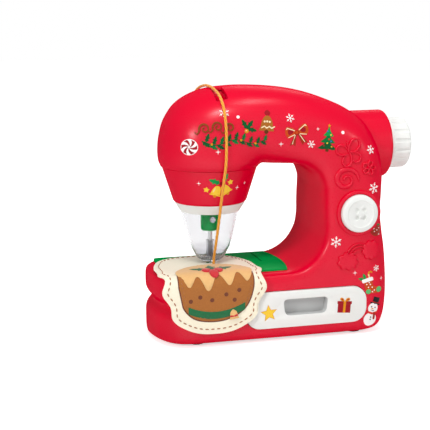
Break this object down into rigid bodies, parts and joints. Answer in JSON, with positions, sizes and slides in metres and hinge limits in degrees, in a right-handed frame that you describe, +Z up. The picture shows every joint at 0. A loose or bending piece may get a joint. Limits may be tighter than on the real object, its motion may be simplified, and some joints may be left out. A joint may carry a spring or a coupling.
{
  "type": "toy sewing machine",
  "caption": "Battery toy sewing machine: C-shaped moulded housing with a geared needle drive, hand wheel, push button, pull-out drawer and yarn spool.",
  "frame": {"origin": "centre of the bounding box on the table, under the feet", "axes": "+X along the bed towards the hand wheel, +Y from the front to the back, +Z up"},
  "size_m": [0.2302, 0.1095, 0.214],
  "materials": {
    "red_shell": "glossy moulded, with printed motifs",
    "white_plastic": "satin gloss",
    "green_plastic": "gloss",
    "clear_plastic": "clear moulded",
    "yarn": "twisted",
    "felt": "felted",
    "black_rubber": "matt",
    "dark_plastic": "matt",
    "inner_plastic": "matt",
    "cell_jacket": "foil jacket",
    "steel": "bright",
    "brass": "turned",
    "grey_metal": "cast"
  },
  "bodies": {
    "root": {"front_shell": "red_shell", "rear_shell": "red_shell", "base_cover": "red_shell", "battery_box": "dark_plastic", "battery_door": "red_shell", "battery_cells": "cell_jacket", "battery_contacts": "steel", "rubber_feet": "black_rubber", "case_screws": "steel", "head_skirt": "red_shell", "guard_collar": "white_plastic", "needle_guard": "clear_plastic", "needle_plate": "green_plastic", "inner_frame": "inner_plastic", "shaft_bushes": "brass", "lower_bushes": "brass", "bar_guides": "brass", "motor": "grey_metal", "drive_belt": "black_rubber", "button_switch": "dark_plastic", "button_spring": "steel", "spool_pin": "red_shell", "drawer_runners": "inner_plastic", "thread_run": "yarn", "felt_patch": "felt"},
    "wheel": {"hand_wheel": "white_plastic", "main_shaft": "steel", "drive_gear": "inner_plastic", "crank_disc": "grey_metal", "upper_pulley": "inner_plastic", "wheel_screw": "steel"},
    "pinion": {"motor_pinion": "brass"},
    "looper": {"lower_shaft": "steel", "lower_pulley": "inner_plastic", "looper_hook": "steel"},
    "needle_unit": {"needle_bar": "steel", "needle_yoke": "grey_metal", "needle_block": "green_plastic", "needle_sleeve": "clear_plastic", "needle": "steel", "clamp_screw": "steel"},
    "button": {"power_button": "white_plastic"},
    "drawer": {"drawer_front": "white_plastic", "drawer_tray": "white_plastic"},
    "spool": {"thread_spool": "white_plastic", "spool_winding": "yarn"}
  },
  "joints": [
    {"name": "wheel_spin", "type": "hinge", "parent": "root", "child": "wheel", "pos_m": [0, 0, 0.158], "axis": [1, 0, 0], "continuous": true},
    {"name": "pinion_spin", "type": "hinge", "parent": "root", "child": "pinion", "pos_m": [0, 0.014, 0.17749], "axis": [1, 0, 0], "continuous": true},
    {"name": "looper_spin", "type": "hinge", "parent": "root", "child": "looper", "pos_m": [0, 0, 0.0505], "axis": [1, 0, 0], "continuous": true},
    {"name": "needle_slide", "type": "slide", "parent": "root", "child": "needle_unit", "axis": [0, 0, 1], "range_m": [0, 0.017]},
    {"name": "button_press", "type": "slide", "parent": "root", "child": "button", "axis": [0, 1, 0], "range_m": [0, 0.003], "stiffness_N_per_m": 300, "deforming": ["button_spring"]},
    {"name": "drawer_slide", "type": "slide", "parent": "root", "child": "drawer", "axis": [0, -1, 0], "range_m": [0, 0.06], "deforming": ["felt_patch"]},
    {"name": "spool_spin", "type": "hinge", "parent": "root", "child": "spool", "pos_m": [-0.072, 0.05, 0.172], "axis": [0, 1, 0], "continuous": true}
  ],
  "couplings": [
    {"joint": "pinion_spin", "follows": "wheel_spin", "ratio": -3},
    {"joint": "looper_spin", "follows": "wheel_spin", "ratio": 1}
  ]
}
